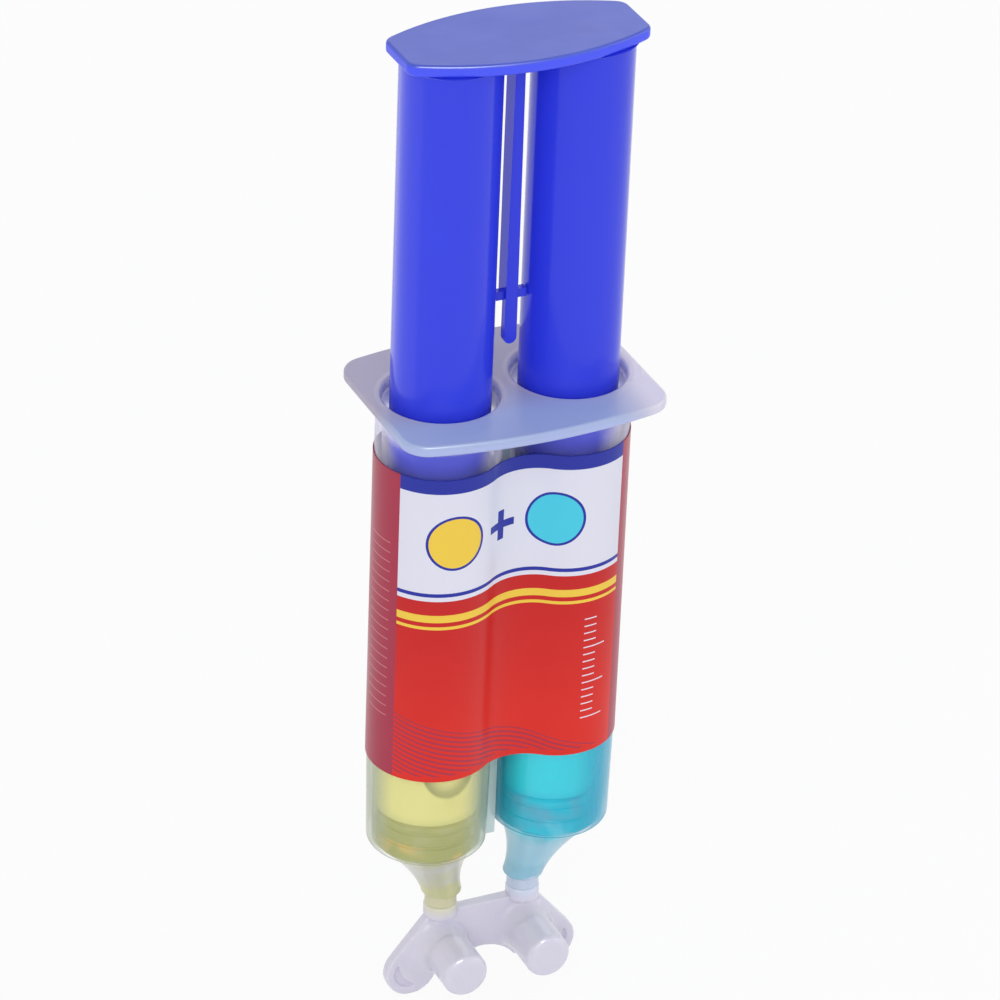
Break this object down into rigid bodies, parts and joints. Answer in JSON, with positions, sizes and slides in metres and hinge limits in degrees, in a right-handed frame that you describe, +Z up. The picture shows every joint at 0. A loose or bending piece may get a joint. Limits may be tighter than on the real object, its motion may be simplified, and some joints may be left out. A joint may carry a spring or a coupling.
{
  "type": "epoxy syringe",
  "caption": "Twin-barrel syringe for two-part epoxy, with a double plunger, a finger flange, a snap-off mixing stick and a snap-off closure whose caps shut the outlets again.",
  "frame": {"origin": "under the middle of the closure, at its lowest point, which is the bottom centre of the bounding box", "axes": "+Z up the syringe from the closure to the thumb plate, X across the two barrels with the resin at -X, and the label faces -Y"},
  "size_m": [0.0402, 0.031, 0.1567],
  "materials": {
    "clear_barrel": "clear moulded polypropylene, glossy",
    "frosted_flange": "milky translucent polypropylene, satin",
    "clear_nozzle": "milky translucent polypropylene, glossy",
    "printed_label": "printed film, red, white and blue bands",
    "resin": "pale yellow liquid resin",
    "hardener": "cyan liquid hardener",
    "blue_plunger": "moulded polypropylene, glossy royal blue",
    "piston": "moulded polyethylene, satin blue",
    "frosted_closure": "milky translucent polypropylene, satin"
  },
  "bodies": {
    "barrel_body": {"barrel_left": "clear_barrel", "barrel_right": "clear_barrel", "finger_flange": "frosted_flange", "barrel_web": "frosted_flange", "nozzle_left": "clear_nozzle", "nozzle_right": "clear_nozzle", "label": "printed_label", "resin_fill": "resin", "hardener_fill": "hardener", "resin_outlet_fill": "resin", "hardener_outlet_fill": "hardener"},
    "plunger": {"thumb_plate": "blue_plunger", "rod_left": "blue_plunger", "rod_right": "blue_plunger", "piston_left": "piston", "piston_right": "piston"},
    "stick": {"mixing_stick": "blue_plunger", "stick_tie_bar": "blue_plunger"},
    "closure": {"closure_plate": "frosted_closure", "snap_collar_left": "frosted_closure", "snap_collar_right": "frosted_closure", "cap_left": "frosted_closure", "cap_right": "frosted_closure"}
  },
  "joints": [
    {"name": "plunger_slide", "type": "slide", "parent": "barrel_body", "child": "plunger", "axis": [0, 0, -1], "range_m": [0, 0.05], "deforming": ["resin_fill", "hardener_fill"]},
    {"name": "stick_pull", "type": "slide", "parent": "plunger", "child": "stick", "axis": [0, -1, 0], "range_m": [0, 0.125]},
    {"name": "closure_pull", "type": "slide", "parent": "barrel_body", "child": "closure", "axis": [0, 0, -1], "range_m": [0, 0.025]}
  ],
  "couplings": [
    {"joint": "stick_pull", "follows": "plunger_slide", "ratio": 2.5}
  ]
}
